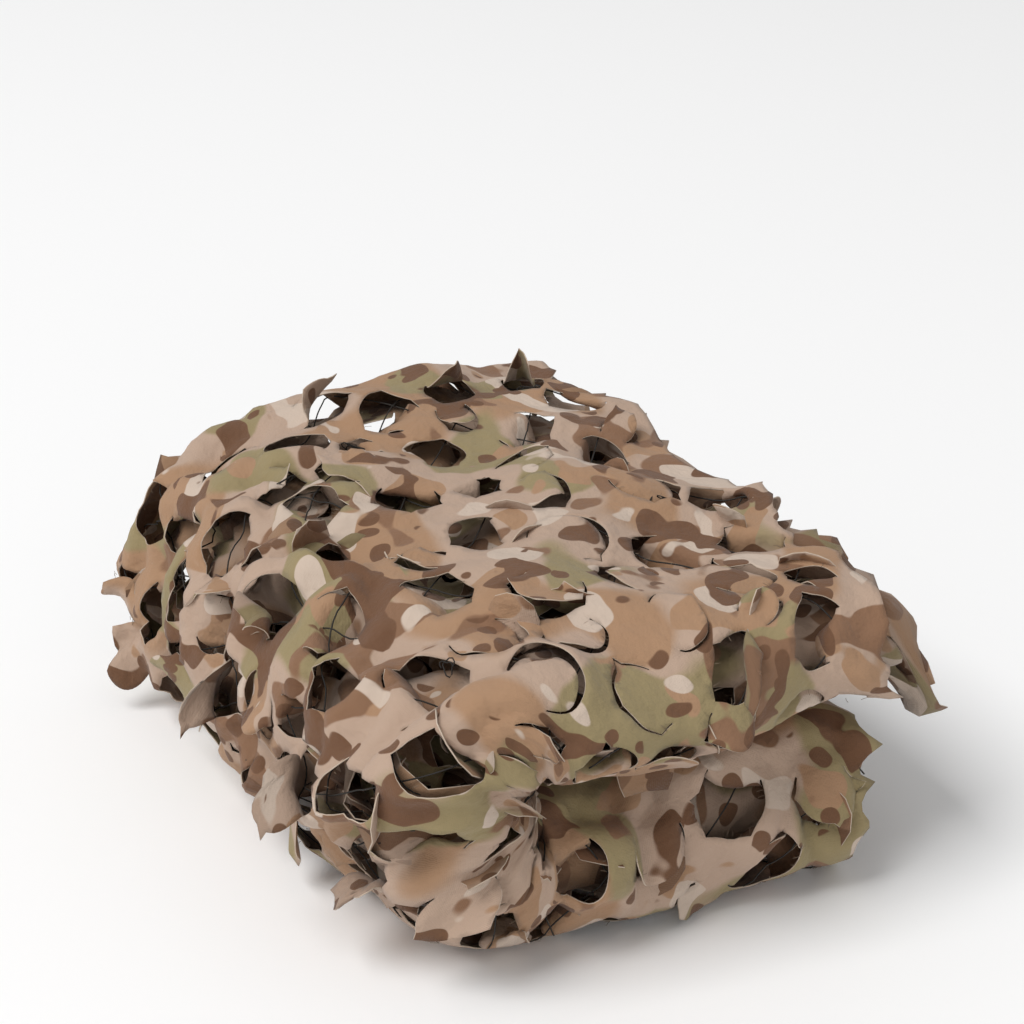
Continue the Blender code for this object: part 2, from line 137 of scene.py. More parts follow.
PIECES = section_pieces()
PIECE_VALUES = {name: np.array([getattr(p, name) for p in PIECES]) for name in Piece._fields}
PIECE_STARTS = np.concatenate([[0.0], np.cumsum(PIECE_VALUES["length"])])
ALONG = float(PIECE_STARTS[-1])
OUTER_FROM = float(PIECE_STARTS[2 * OUTER - 1])  # the rounded edge and the outer layer
OUTER_TO = float(PIECE_STARTS[2 * OUTER + 1])
INNER_FROM = float(PIECE_STARTS[2 * OUTER + 2])  # the layers wrapped by the outer ones


def superellipse(angle):
    """How far out and up the spine's curve is, as shares, at an angle from its top."""
    power = 2 / SPINE_POWER
    out = np.sin(angle).clip(0, 1) ** power
    up = np.sign(np.cos(angle)) * np.abs(np.cos(angle)) ** power
    return out, up


def pack_heights(up):
    """The height of the pack that a point is in, measured from the crease."""
    return np.where(up > 0, HEIGHT - CREASE_Z, CREASE_Z)


SPINE_ANGLES = np.linspace(0.0, math.pi, 241)
SPINE_OUT, SPINE_UP = superellipse(SPINE_ANGLES)
SPINE_STEPS = np.hypot(
    np.diff(SPINE_DEPTH * SPINE_OUT), np.diff(pack_heights(SPINE_UP) * SPINE_UP)
)
SPINE_LENGTHS = np.concatenate([[0.0], np.cumsum(SPINE_STEPS)])
SPINE_RUN = float(SPINE_LENGTHS[-1])
SPINE_CENTRE_Y = SPINE_Y + SPINE_DEPTH
TOP_RUN = OPEN_Y - SPINE_CENTRE_Y
LOW_RUN = LOW_OPEN_Y - SPINE_CENTRE_Y
DOWN = TOP_RUN + SPINE_RUN + LOW_RUN


def smooth(value, low, high):
    """0 below low, 1 above high, and a smooth step between."""
    t = np.clip((value - low) / (high - low), 0.0, 1.0)
    return t * t * (3 - 2 * t)


def waves(table, across, up):
    """The sum of a table's waves."""
    return sum(
        w.height * np.sin(2 * math.pi * (across / w.across + up / w.up) + w.start) for w in table
    )


def on_section(along):
    """x and the share of the pack's thickness, at a distance along the cloth."""
    i = np.clip(np.searchsorted(PIECE_STARTS, along, side="right") - 1, 0, len(PIECES) - 1)
    value = {name: column[i] for name, column in PIECE_VALUES.items()}
    part = (along - PIECE_STARTS[i]) / value["length"]
    turn = math.pi * part
    x = value["x_from"] + part * (value["x_to"] - value["x_from"]) + value["bulge"] * np.sin(turn)
    middle = (value["share_from"] + value["share_to"]) / 2
    share = middle - (value["share_to"] - value["share_from"]) / 2 * np.cos(turn)
    return x, share


def down_the_strip(along, down, x, share):
    """y and z, at a distance down the strip and a share of the pack's thickness."""
    inner = smooth(along, OUTER_TO, INNER_FROM)
    on_top = np.clip((TOP_RUN - down) / TOP_RUN, 0, 1)
    below = np.clip((down - TOP_RUN - SPINE_RUN) / LOW_RUN, 0, 1)
    corner = smooth(x, 0.02, 0.19)
    share = share + INNER_LOFT * share**2 * (1 - share) * inner * corner * on_top**2
    out, up = superellipse(np.interp(down - TOP_RUN, SPINE_LENGTHS, SPINE_ANGLES))
    z = CREASE_Z + up * (CREASE_GAP + share * (pack_heights(up) - CREASE_GAP))
    y = SPINE_CENTRE_Y - out * (CREASE_GAP + share * (SPINE_DEPTH - CREASE_GAP))
    stagger = OPEN_STAGGER * (1.2 - share) * inner
    frill = FRILL * np.sin(2 * math.pi * along / FRILL_LENGTH)
    y = y + on_top * (TOP_RUN + stagger) + on_top**2 * frill
    y = y + on_top**2 * corner * (INNER_REACH * inner - OUTER_DRAW * (1 - inner))
    y = y + below * (LOW_RUN + 0.3 * stagger) + below**2 * frill
    return y, z


def settle(x, y, z):
    """Crowns and waves the pack, and slides and turns its upper half. z = 0 stays flat."""
    upper = 1 / (1 + np.exp((CREASE_Z - z) / 0.016))
    lift = smooth(z, 0.0, FLOOR_FADE)
    middle_y, half_y = (OPEN_Y + SPINE_Y) / 2, (OPEN_Y - SPINE_Y) / 2
    off_centre = (x / FRONT_X) ** 2 + ((y - middle_y) / half_y) ** 2
    settled_z = z * (1 - CROWN / 2 * off_centre) + lift * waves(TOP_WAVES, x, y)
    behind = smooth(-x, 0.04, -BACK_X) * np.exp(-(((y - BACK_RISE_Y) / 0.08) ** 2))
    settled_z += BACK_RISE * behind * z / HEIGHT
    past_lower = smooth(y, LOW_OPEN_Y, OPEN_Y + OPEN_STAGGER)
    settled_z -= CORNER_DROOP * past_lower * smooth(x, 0.08, FRONT_X) * upper
    settled_x = x + UPPER_SHIFT_X * upper
    settled_y = y + UPPER_SHIFT_Y * upper
    settled_x += lift * smooth(x, 0.08, FRONT_X) * waves(FRONT_WAVES, y, z)
    at_spine = smooth(-y, 0.0, -SPINE_Y)
    settled_y -= at_spine * lift * waves(SPINE_WAVES, x, z)
    settled_y += at_spine * SPINE_ROUND * (x / BACK_X) ** 4
    settled_y += at_spine * FOOT_TUCK * smooth(x, 0.0, FRONT_X) * (1 - upper)
    settled_x += FOOT_SKEW * (y - middle_y) * smooth(x, 0.0, FRONT_X) * (1 - upper)
    settled_y -= BACK_ROUND * smooth(-x, -0.05, -BACK_X) * smooth(y, 0.02, OPEN_Y)
    turn = UPPER_TURN * upper
    return np.stack(
        [
            settled_x * np.cos(turn) - settled_y * np.sin(turn),
            settled_x * np.sin(turn) + settled_y * np.cos(turn),
            settled_z,
        ],
        axis=-1,
    )


def smooth_cloth(along, down):
    """Points of the folded cloth, before its ripples."""
    x, share = on_section(along)
    y, z = down_the_strip(along, down, x, share)
    return settle(x, y, z)


def step_along(flat, way):
    """Where a step one way in the flat cloth leads in space, for each metre of the step."""
    step = 0.0015 * np.asarray(way)
    return (smooth_cloth(*(flat + step).T) - smooth_cloth(*(flat - step).T)) / 0.003


def outward(flat):
    """The cloth's outward normals."""
    normal = np.cross(step_along(flat, (1, 0)), step_along(flat, (0, 1)))
    return normal / np.linalg.norm(normal, axis=1, keepdims=True)


# ---------------------------------------------------------------------------
# The fine cloth: crumples on the folds
# ---------------------------------------------------------------------------

SHEET = 0.0008  # the real cloth's thickness
LEAST_Z = 0.003  # a leaf's lowest point, so that the pack rests on its cloth
Crumple = namedtuple("Crumple", "tight slack size")
CRUMPLES = (  # soft unevenness out of the cloth: its height where it is tight and slack
    Crumple(tight=0.0016, slack=0.0060, size=0.060),
    Crumple(tight=0.0009, slack=0.0042, size=0.027),
    Crumple(tight=0.0003, slack=0.0010, size=0.011),
)
HIDDEN_CRUMPLES = ((0.0045, 0.045), (0.0030, 0.024))  # height and size, where little shows
HIDDEN_FROM = 0.02  # how far beyond the layer that shows they begin
CREASES = Crumple(tight=0.0018, slack=0.0090, size=0.045)  # troughs with sharper bottoms
CREASE_WIDTH = 0.45  # of their size
CREASE_STRETCH, LOW_STRETCH = (1.0, 0.6), (0.5, 1.1)  # along and down; on the low front
EDGE_WAVE, EDGE_WAVE_SIZE = 0.0080, 0.030  # the flutter of the raw edges at the open ends
EDGE_REACH = 0.060  # how far in it is felt
CRUMPLE_SEED, HIDDEN_SEED, CREASE_SEED, EDGE_SEED = 3.7, 6.6, 9.1, 5.5


def noise_at(flat, size, seed):
    """Soft noise over the flat cloth, about from -1 to 1."""
    return np.array([noise.noise((a / size, d / size, seed)) for a, d in flat]) * 1.6


def low_front(points):
    """From 0 to 1 on the lower pack's front."""
    return smooth(points[:, 0], 0.14, 0.21) * smooth(CREASE_Z - points[:, 2], -0.01, 0.03)


def slack_at(points):
    """How slack the cloth is, from 0 to 1: at the spine, and on the lower pack's front."""
    return np.maximum(smooth(-points[:, 1], 0.05, 0.15), low_front(points))


def unevenness(flat, points):
    """How far crumples and creases stand out of the cloth."""
    slack = slack_at(points)
    height = waves(RIPPLES, *flat.T)
    for i, crumple in enumerate(CRUMPLES):
        tall = crumple.tight + (crumple.slack - crumple.tight) * slack
        height = height + tall * noise_at(flat, crumple.size, CRUMPLE_SEED + i)
    stretch = np.where(low_front(points)[:, None] > 0.5, LOW_STRETCH, CREASE_STRETCH)
    ridge = np.abs(noise_at(flat * stretch, CREASES.size, CREASE_SEED))
    line = np.clip(1 - ridge / CREASE_WIDTH, 0, 1)
    height = height - (CREASES.tight + (CREASES.slack - CREASES.tight) * slack) * line**1.5
    hidden = (flat[:, 0] < OUTER_FROM - HIDDEN_FROM) | (flat[:, 0] > OUTER_TO + HIDDEN_FROM)
    for i, (tall, size) in enumerate(HIDDEN_CRUMPLES):
        height[hidden] += tall * noise_at(flat[hidden], size, HIDDEN_SEED + i)
    to_end = np.minimum(flat[:, 1], DOWN - flat[:, 1])
    flutter = np.clip(1 - to_end / EDGE_REACH, 0, 1) ** 2
    height = height + EDGE_WAVE * flutter * noise_at(flat, EDGE_WAVE_SIZE, EDGE_SEED)
    return height * smooth(points[:, 2], LEAST_Z, FLOOR_FADE)


def folded(flat, more=0.0):
    """Where points of the flat cloth come to lie, given as rows of along and down."""
    points = smooth_cloth(*flat.T)
    height = unevenness(flat, points) + more * smooth(points[:, 2], LEAST_Z, FLOOR_FADE)
    return points + outward(flat) * height[:, None]


# ---------------------------------------------------------------------------
# The cuts and their leaves
# ---------------------------------------------------------------------------

LEAF_ARC = math.radians(250)
KERF_AT_TIP, KERF_AT_HINGE = 0.0022, 0.0008
LEAF_FOLD = 0.4  # the share of a leaf, from its hinge, that bends
TUCKED_FOLD = 0.22
LEAF_STEPS = 16  # in which a leaf's bend is summed
SAG = 1.5  # how strongly a lifted leaf's tip turns downward
CUT_ROOM = 0.053  # between the middles of two cuts
CREASE_ROOM = 0.042  # from the crease to a cut's middle
CUT_TRIES, CUT_SEED = 3000, 6
TUCKED_SHARE = 0.4
SPREAD_RADIUS = 0.034  # how far round a cut the cloth has to be spread, and how much
OUTER_SPREAD = 0.6
EDGE_ROOM = 0.031  # from a cut's middle to the cloth's edge
FARTHEST = 0.09  # between the middles of two cuts whose outlines might touch
CLEARANCE = 0.0035  # between two cuts' outlines
SHRINKS, SHRINK = 5, 0.95  # how often a cut may shrink to be clear, and its share each time
EXTRA_ROOM, EXTRA_TRIES = 0.0045, 4200  # the clearance of cuts where the solid has none
EXTRA_EDGE_ROOM = 0.038
HIDDEN_ROOM, HIDDEN_TRIES = 0.013, 3600  # the same in the hidden layers

TUCKED = -170  # the lift of a leaf that is under the cloth
TUCKED_WAYS = (-168, -130, -95, -70, -50)  # how such leaves hang here
Cut = namedtuple("Cut", "along down reach width heading lift")
LARGE_CUTS = (
    Cut(along=0.240, down=0.032, reach=0.036, width=0.054, heading=135, lift=TUCKED),
    Cut(along=0.115, down=0.054, reach=0.036, width=0.058, heading=70, lift=TUCKED),
    Cut(along=0.390, down=0.075, reach=0.042, width=0.062, heading=-125, lift=TUCKED),
    Cut(along=0.247, down=0.096, reach=0.046, width=0.066, heading=120, lift=TUCKED),
    Cut(along=0.455, down=0.105, reach=0.040, width=0.050, heading=-140, lift=TUCKED),
    Cut(along=0.120, down=0.124, reach=0.034, width=0.056, heading=60, lift=110),
    Cut(along=0.280, down=0.160, reach=0.044, width=0.064, heading=-60, lift=-8),
    Cut(along=0.165, down=0.146, reach=0.034, width=0.054, heading=-86, lift=5),
    Cut(along=0.345, down=0.148, reach=0.034, width=0.048, heading=-113, lift=40),
    Cut(along=0.455, down=0.178, reach=0.036, width=0.050, heading=-90, lift=TUCKED),
    Cut(along=0.215, down=0.205, reach=0.044, width=0.046, heading=143, lift=-14),
    Cut(along=0.116, down=0.190, reach=0.034, width=0.058, heading=90, lift=5),
    Cut(along=0.318, down=0.206, reach=0.036, width=0.046, heading=77, lift=TUCKED),
    Cut(along=0.390, down=0.225, reach=0.038, width=0.046, heading=156, lift=TUCKED),
    Cut(along=0.255, down=0.264, reach=0.036, width=0.056, heading=-80, lift=TUCKED),
    Cut(along=0.135, down=0.255, reach=0.042, width=0.056, heading=-81, lift=-14),
    Cut(along=0.408, down=0.290, reach=0.040, width=0.060, heading=-84, lift=TUCKED),
    Cut(along=0.177, down=0.316, reach=0.038, width=0.056, heading=-80, lift=TUCKED),
    Cut(along=0.228, down=0.345, reach=0.036, width=0.052, heading=87, lift=TUCKED),
    Cut(along=0.118, down=0.352, reach=0.036, width=0.054, heading=70, lift=TUCKED),
    Cut(along=0.500, down=0.262, reach=0.040, width=0.052, heading=-27, lift=TUCKED),
    Cut(along=0.340, down=0.300, reach=0.036, width=0.046, heading=100, lift=TUCKED),
    Cut(along=0.430, down=0.345, reach=0.038, width=0.048, heading=60, lift=TUCKED),
    Cut(along=0.515, down=0.372, reach=0.036, width=0.046, heading=120, lift=TUCKED),
    Cut(along=0.340, down=0.366, reach=0.036, width=0.044, heading=-100, lift=40),
    Cut(along=0.165, down=0.388, reach=0.038, width=0.046, heading=80, lift=TUCKED),
    Cut(along=0.120, down=0.428, reach=0.042, width=0.056, heading=-70, lift=TUCKED),
    Cut(along=0.060, down=0.690, reach=0.036, width=0.046, heading=0, lift=-10),
    Cut(along=0.060, down=0.625, reach=0.036, width=0.046, heading=20, lift=TUCKED),
    Cut(along=0.100, down=0.500, reach=0.046, width=0.058, heading=60, lift=35),
)
FINE_CUTS = (  # where the cloth is too bunched for the solid's
    Cut(along=0.034, down=0.582, reach=0.042, width=0.056, heading=-10, lift=TUCKED),
    Cut(along=0.066, down=0.535, reach=0.032, width=0.040, heading=95, lift=34),
)


def leaf_ways(cut):
    """The flat directions from a leaf's hinge to its tip, and sideways."""
    heading = math.radians(cut.heading)
    return np.array([
        [math.cos(heading), math.sin(heading)],
        [-math.sin(heading), math.cos(heading)],
    ])


def middle(cut):
    """The middle of a cut's oval, in the flat cloth."""
    return np.array([cut.along, cut.down])


def half_length(cut):
    """From a cut's middle to its leaf's tip."""
    return cut.reach / (1 - math.cos(LEAF_ARC / 2))


def hinge_place(cut):
    """From a cut's middle to its leaf's hinge, forward."""
    return half_length(cut) * math.cos(LEAF_ARC / 2)


def round_a_place(flat, radius, count):
    """Flat points on a circle."""
    turns = np.linspace(0, 2 * math.pi, count, endpoint=False)
    return flat + radius * np.stack([np.cos(turns), np.sin(turns)], axis=1)


def spread_at(flat):
    """How far the cloth spreads round a place, as the least share of its flat distance."""
    rim = smooth_cloth(*round_a_place(flat, SPREAD_RADIUS, 8).T)
    return np.linalg.norm(rim - smooth_cloth(*flat), axis=1).min() / SPREAD_RADIUS


def lift_at(rng, flat):
    """Degrees that a leaf turns out of the cloth, by where it is. Inward is negative."""
    normal = outward(flat[None])[0]
    if rng.random() < TUCKED_SHARE:
        return TUCKED
    if normal[2] < -0.5 or smooth_cloth(*flat)[2] < 0.03:
        return rng.uniform(-14, -5)
    if normal[1] < -0.5:
        return rng.choice([rng.uniform(10, 30), rng.uniform(30, 75)])
    if normal[0] > 0.5:
        return rng.choice([rng.uniform(4, 12), rng.uniform(12, 35)])
    return rng.choice([rng.uniform(-17, -8), rng.uniform(3, 12), rng.uniform(12, 50)])


def outer_cuts():
    """The solid's cuts in the cloth that shows: the large ones, and others scattered."""
    rng = np.random.default_rng(CUT_SEED)
    cuts = [cut._replace(along=OUTER_FROM + cut.along) for cut in LARGE_CUTS]
    for _ in range(CUT_TRIES):
        along = rng.uniform(OUTER_FROM + CREASE_ROOM, OUTER_TO - EDGE_ROOM)
        down = rng.uniform(EDGE_ROOM, DOWN - EDGE_ROOM)
        reach, width = rng.uniform(0.036, 0.046), rng.uniform(0.040, 0.052)
        near_crease = along < OUTER_FROM + 2 * CREASE_ROOM
        heading = rng.uniform(-45, 45) if near_crease else rng.uniform(-180, 180)
        flat = np.array([along, down])
        nearest = min(np.linalg.norm(flat - middle(cut)) for cut in cuts)
        if nearest > CUT_ROOM and spread_at(flat) > OUTER_SPREAD:
            cuts.append(Cut(along, down, reach, width, heading, lift_at(rng, flat)))
    return cuts


def clearance(cuts, cut, number):
    """How far a cut's outline stays clear of the others'."""
    rim = arc(cut, number, 24, np.zeros_like)
    places = np.array([middle(other) for other in cuts])
    near = np.flatnonzero(np.linalg.norm(places - middle(cut), axis=1) < FARTHEST)
    return min([outline_distance(cuts[i], i, rim)[1].min() for i in near if i != number],
               default=1.0)


def made_clear(cuts):
    """The cuts, with those smaller that come too close to another."""
    cuts = list(cuts)
    for number in list(range(len(cuts))) * SHRINKS:
        if clearance(cuts, cuts[number], number) < CLEARANCE:
            cut = cuts[number]
            cuts[number] = cut._replace(reach=SHRINK * cut.reach, width=SHRINK * cut.width)
    return cuts


def more_cuts(cuts, along_from, along_to, room, tries, seed):
    """The cuts, with further ones in a range, whose outlines have some room round them."""
    rng = np.random.default_rng(seed)
    cuts = list(cuts)
    for _ in range(tries):
        along = rng.uniform(along_from, along_to)
        down = rng.uniform(EXTRA_EDGE_ROOM, DOWN - EXTRA_EDGE_ROOM)
        reach, width = rng.uniform(0.026, 0.042), rng.uniform(0.028, 0.046)
        heading, lift = rng.uniform(-180, 180), rng.choice([TUCKED, rng.uniform(-9, 25)])
        cut = Cut(along, down, reach, width, heading, lift)
        if clearance(cuts, cut, len(cuts)) > room:
            cuts.append(cut)
    return cuts


# How a leaf curls: its lift, degrees more at its tip, the share by which one side lifts
# more, how far its sides stand out of its middle, how much it hangs by its weight, and the
# share by which it is gathered at its tip.
Curl = namedtuple("Curl", "lift tip twist cup wave phase sag gather")


def curl_of(cut, number):
    """A leaf's own curl: freer where the cloth is slack, and on the back edge."""
    rng = np.random.default_rng([41, number])
    place = smooth_cloth(*middle(cut)[:, None])
    slack = slack_at(place)[0]
    on_back = smooth(-place[0, 0], 0.16, 0.19) * smooth(place[0, 2], 0.14, 0.18)
    lift, gather = cut.lift, 0.0
    if on_back > 0.5 and math.cos(math.radians(cut.heading)) < 0.2:
        lift, gather = rng.uniform(25, 55), rng.uniform(0.35, 0.75)
    elif cut.lift == TUCKED or (low_front(place)[0] > 0.5 and rng.random() < 0.4):
        lift = rng.choice(TUCKED_WAYS)
    elif cut.lift > -12 and place[0, 2] > 0.04:
        lift += rng.uniform(0, 38) * slack * smooth(place[0, 2], 0.04, 0.14)
    free = min(1.0, abs(lift) / 20)
    return Curl(
        lift=lift,
        sag=SAG * smooth(lift, 12, 45) * (1 - on_back),
        tip=free * rng.uniform(-40, 50),
        twist=rng.uniform(-0.4, 0.4) * (1 + on_back),
        cup=free * rng.uniform(-0.007, 0.007) * (1 + on_back),
        wave=free * rng.uniform(0.0008, 0.0026),
        phase=rng.uniform(0, 2 * math.pi),
        gather=gather,
    )


def on_leaf(cut, curl, flat):
    """Where a leaf's flat points come to lie when it bends out of the cloth at its hinge."""
    ways = leaf_ways(cut)
    own = (flat - middle(cut)) @ ways.T
    from_hinge = np.maximum(own[:, 0] - hinge_place(cut), 0.0)
    foot = flat - from_hinge[:, None] * ways[0]
    ahead = step_along(foot, ways[0])
    stretch = np.linalg.norm(ahead, axis=1)
    ahead = ahead / stretch[:, None]
    out = outward(foot)
    across = np.cross(out, ahead)
    from_hinge = from_hinge * np.minimum(stretch, 1.0)
    side = own[:, 1] / (cut.width / 2)
    lift = math.radians(curl.lift) * (1 + curl.twist * side)
    fold = (TUCKED_FOLD if cut.lift == TUCKED else LEAF_FOLD) * cut.reach
    points = folded(foot)
    for i in range(LEAF_STEPS):
        at = from_hinge * (i + 0.5) / LEAF_STEPS
        angle = lift * np.minimum(at / fold, 1) + math.radians(curl.tip) * (at / cut.reach) ** 2
        way = ahead * np.cos(angle)[:, None] + out * np.sin(angle)[:, None]
        way[:, 2] -= curl.sag * at / cut.reach
        way /= np.linalg.norm(way, axis=1, keepdims=True)
        points += way * (from_hinge / LEAF_STEPS)[:, None]
    free = smooth(from_hinge, 0.0, fold)
    bow = curl.cup * side**2 * free
    bow += curl.wave * free * np.sin(3.1 * side + curl.phase + 90 * from_hinge)
    points += np.cross(way, across) * bow[:, None]
    points -= across * (curl.gather * own[:, 1] * from_hinge / cut.reach)[:, None]
    points[:, 2] = np.maximum(points[:, 2], LEAST_Z)
    return points


def kerf_at(turn):
    """How wide a cut is open, at a turn from the leaf's tip."""
    return KERF_AT_HINGE + (KERF_AT_TIP - KERF_AT_HINGE) * np.cos(turn / 2) ** 2


Spike = namedtuple("Spike", "turn tall half_width")  # a leaf's point between hollow sides


def spikes(number):
    """The points on a leaf's outline."""
    rng = np.random.default_rng([29, number])
    turn, made = rng.uniform(-2.0, -0.6), []
    while turn < 1.8:
        if rng.random() < 0.6:
            made.append(Spike(turn, rng.uniform(0.08, 0.24), rng.uniform(0.16, 0.42)))
        turn += rng.uniform(0.7, 1.7)
    return made


def reach_at(number, turn):
    """How far out a cut reaches at each turn, as a share of its oval: lobes and points."""
    rng = np.random.default_rng([31, number])
    share = np.full_like(turn, 0.96)
    for lobes in (2, 3, 5):
        share += rng.uniform(-0.035, 0.035) * np.sin(lobes * turn + rng.uniform(0, 2 * math.pi))
    for spike in spikes(number):
        away = np.abs(turn - spike.turn) / spike.half_width
        share += spike.tall * np.clip(1 - away, 0, 1) ** 1.7
    return share


def arc(cut, number, count, inset):
    """Flat points round a cut's outline, from one end of the leaf's hinge to the other."""
    turn = np.linspace(-LEAF_ARC / 2, LEAF_ARC / 2, count)
    for spike in spikes(number):
        turn[np.abs(turn[1:-1] - spike.turn).argmin() + 1] = spike.turn
    reach = reach_at(number, turn)
    forward = (half_length(cut) * reach - inset(turn)) * np.cos(turn)
    sideways = (cut.width / 2 * reach - inset(turn)) * np.sin(turn)
    return middle(cut) + np.stack([forward, sideways], axis=1) @ leaf_ways(cut)


# ---------------------------------------------------------------------------
# The cloth's mesh
# ---------------------------------------------------------------------------

FINE, MEDIUM, COARSE = 0.0056, 0.0088, 0.0175  # the mesh's spacing
VISIBLE_FROM, VISIBLE_TO = OUTER_FROM - 0.045, OUTER_TO + 0.030
UNDER_TO = VISIBLE_TO + 0.40  # the layer that shows through the outer one's cuts
UNDERSIDE_DOWN, ENDS_DOWN = TOP_RUN + SPINE_RUN, 0.080
FINE_ARC, COARSE_ARC = 28, 13  # points round a cut
CUT_REACH = 0.06  # the farthest that a cut is felt from its middle
PUCKER_WIDTH = 0.012  # how far round a cut its rim stands out of the cloth
SCALLOP = 0.014  # how deep the raw ends' scallops are
SCALLOP_REACH = 0.030  # how far in they are felt

Patch = namedtuple("Patch", "along_from along_to down_from down_to step")
PATCHES = (
    Patch(0.007, VISIBLE_FROM - 0.008, 0.0, DOWN, COARSE),
    Patch(VISIBLE_FROM, VISIBLE_TO, 0.0, UNDERSIDE_DOWN, FINE),
    Patch(VISIBLE_FROM, OUTER_FROM + 0.14, UNDERSIDE_DOWN + 0.005, DOWN, FINE),
    Patch(OUTER_FROM + 0.150, VISIBLE_TO, UNDERSIDE_DOWN + 0.010, DOWN, COARSE),
    Patch(VISIBLE_TO + 0.007, ALONG - 0.006, 0.0, ENDS_DOWN, MEDIUM),
    Patch(VISIBLE_TO + 0.008, UNDER_TO - 0.009, ENDS_DOWN + 0.008, UNDERSIDE_DOWN, MEDIUM),
    Patch(VISIBLE_TO + 0.009, UNDER_TO - 0.009, UNDERSIDE_DOWN + 0.010, DOWN, COARSE),
    Patch(UNDER_TO, ALONG - 0.006, ENDS_DOWN + 0.010, DOWN, COARSE),
)


def patch_points(patch):
    """Flat points in staggered rows over a patch of the cloth."""
    rows = round((patch.down_to - patch.down_from) / (patch.step * 0.87))
    points = []
    for i, down in enumerate(np.linspace(patch.down_from, patch.down_to, rows + 1)):
        start = patch.along_from + (0.5 * patch.step if i % 2 else 0.0)
        points += [(along, down) for along in np.arange(start, patch.along_to, patch.step)]
    return points


def edge_points():
    """Flat points on the cloth's two long edges."""
    rows = np.linspace(0, DOWN, round(DOWN / COARSE) + 1)
    return [(along, down) for along in (0.0, ALONG) for down in rows]


def scalloped(flat):
    """Draws the raw open ends in, in uneven scallops with points between them."""
    along, down = flat.T
    bow = np.abs(np.sin(along * 84 + 1.9 * np.sin(along * 27))) ** 0.7
    depth = SCALLOP * bow * (0.65 + 0.35 * np.sin(along * 41 + 1))
    at_top = np.clip(1 - down / SCALLOP_REACH, 0, 1)
    at_bottom = np.clip(1 - (DOWN - down) / SCALLOP_REACH, 0, 1)
    return np.stack([along, down + depth * (at_top - at_bottom)], axis=1)


def outline_distance(cut, number, flat):
    """Flat points seen from a cut: forward and sideways of its middle, how far outside its
    outline, and how near its tip, from 0 to 1."""
    own = (flat - middle(cut)) @ leaf_ways(cut).T
    half = np.array([half_length(cut), cut.width / 2])
    forward, sideways = (own / half).T
    turn = np.arctan2(sideways, forward)
    distance = (np.hypot(forward, sideways) - reach_at(number, turn)) * half.mean()
    return own, distance, (1 + np.cos(turn)) / 2


IN_CLOTH, ON_END = -1, -2  # the numbers of points that are on no leaf


def cloth_points(cuts, fine_cuts):
    """Flat points for the mesh, the gaps between them, and the number of each one's cut."""
    grid = np.array(sum((patch_points(patch) for patch in PATCHES), edge_points()))
    on_end = (grid[:, 1] < 1e-6) | (grid[:, 1] > DOWN - 1e-6)
    leaf_of = np.where(on_end, ON_END, IN_CLOTH)
    clear = np.ones(len(grid), bool)
    for number, cut in enumerate(cuts):
        near = np.flatnonzero(np.abs(grid - middle(cut)).max(axis=1) < CUT_REACH)
        own, distance, _ = outline_distance(cut, number, grid[near])
        room = 0.45 * (FINE if number < fine_cuts else 0.6 * COARSE)
        ahead = own[:, 0] > hinge_place(cut)
        clear[near[(np.abs(distance) < room) & ahead]] = False
        leaf_of[near[(distance < 0) & ahead]] = number
    flat, leaf_of = list(grid[clear]), list(leaf_of[clear])
    gaps = []
    for number, cut in enumerate(cuts):
        count = FINE_ARC if number < fine_cuts else COARSE_ARC
        start = len(flat)
        flat.extend(arc(cut, number, count, np.zeros_like))
        flat.extend(arc(cut, number, count - 1, kerf_at)[::-1])
        leaf_of += [IN_CLOTH] * count + [number] * (count - 1)
        gaps.append(list(range(start, len(flat))))
    return scalloped(np.array(flat)), gaps, np.array(leaf_of)


def puckers(cuts, flat, leaf_of):
    """How far the cloth's rims stand out of it beyond the leaves' tips."""
    height = np.zeros(len(flat))
    for number, cut in enumerate(cuts):
        rng = np.random.default_rng([67, number])
        slack = slack_at(smooth_cloth(*middle(cut)[:, None]))[0]
        tall = rng.uniform(-0.0035, 0.0045) * (1 + 1.3 * slack)
        near = np.flatnonzero(np.abs(flat - middle(cut)).max(axis=1) < CUT_REACH)
        _, distance, tipward = outline_distance(cut, number, flat[near])
        bump = tall * np.exp(-(np.maximum(distance, 0) / PUCKER_WIDTH) ** 2) * tipward**2
        height[near] += np.where(leaf_of[near] < 0, bump, 0)
    return height


